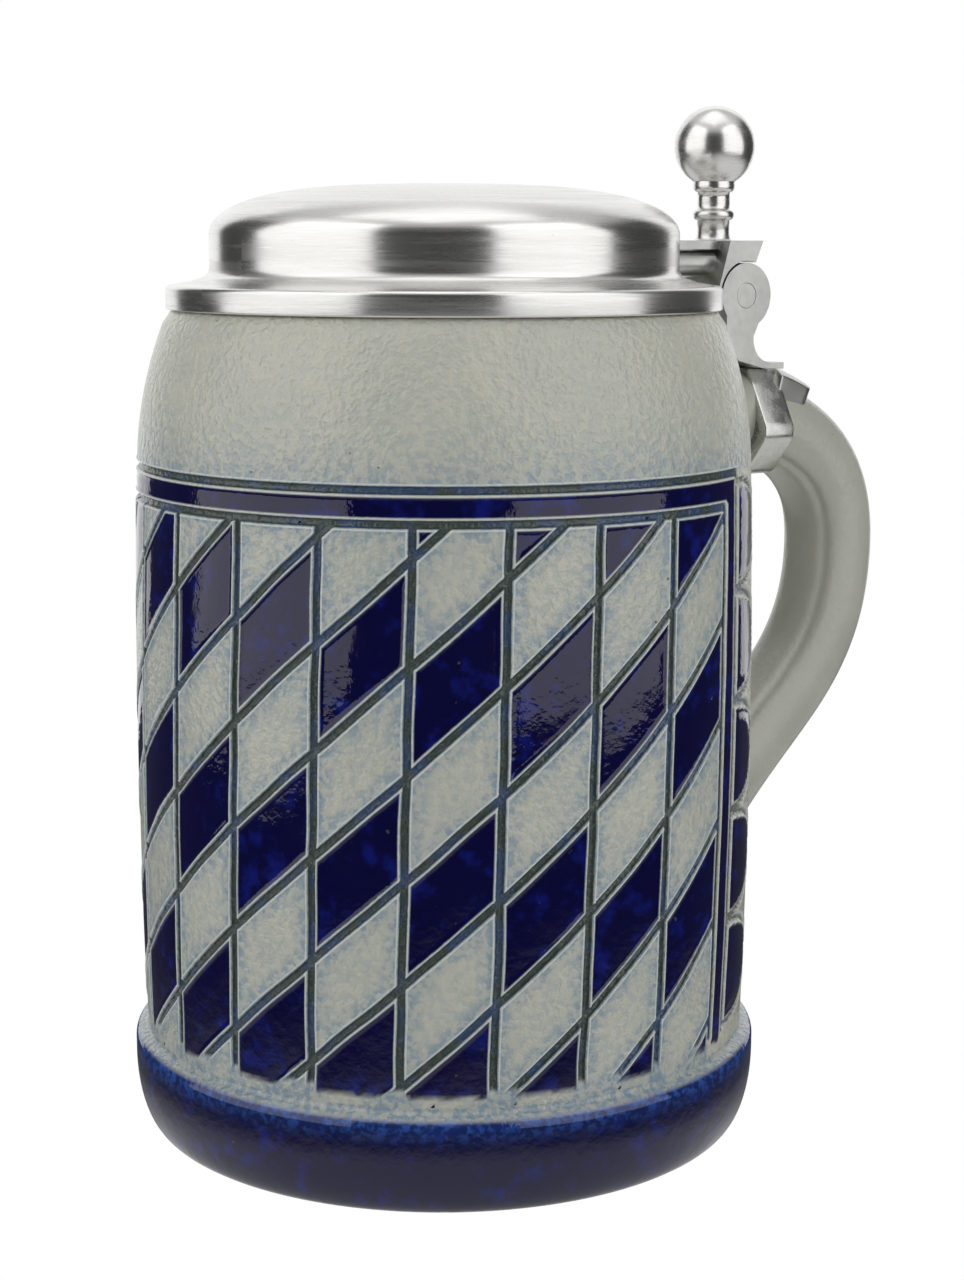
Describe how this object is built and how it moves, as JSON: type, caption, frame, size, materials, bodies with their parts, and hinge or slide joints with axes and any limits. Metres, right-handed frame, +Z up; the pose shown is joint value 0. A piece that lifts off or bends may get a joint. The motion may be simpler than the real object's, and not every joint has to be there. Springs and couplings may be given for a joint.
{
  "type": "beer stein",
  "caption": "Half-litre grey stoneware beer stein with cobalt lozenge relief, loop handle, hinged domed pewter lid and ball thumblift.",
  "frame": {"origin": "centre of the flat base, on the surface that the stein stands on", "axes": "+Z up, +X from the body's axis out through the handle and the hinge, Y along the hinge pin"},
  "size_m": [0.1376, 0.0976, 0.158],
  "materials": {
    "stoneware": "salt glaze, grey with cobalt blue fields and bands",
    "satin_pewter": "satin, brushed round the lid",
    "bright_pewter": "polished"
  },
  "bodies": {
    "jug": {"stoneware_body": "stoneware", "stoneware_handle": "stoneware", "handle_strap": "bright_pewter", "hinge_shank": "satin_pewter", "hinge_pin": "bright_pewter"},
    "lid": {"lid_shell": "satin_pewter", "lid_tang": "satin_pewter", "thumblift_stem": "bright_pewter", "thumblift_ball": "bright_pewter"}
  },
  "joints": [
    {"name": "lid_hinge", "type": "hinge", "parent": "jug", "child": "lid", "pos_m": [0.054, 0, 0.1276], "axis": [0, 1, 0], "range_deg": [0, 110]}
  ]
}
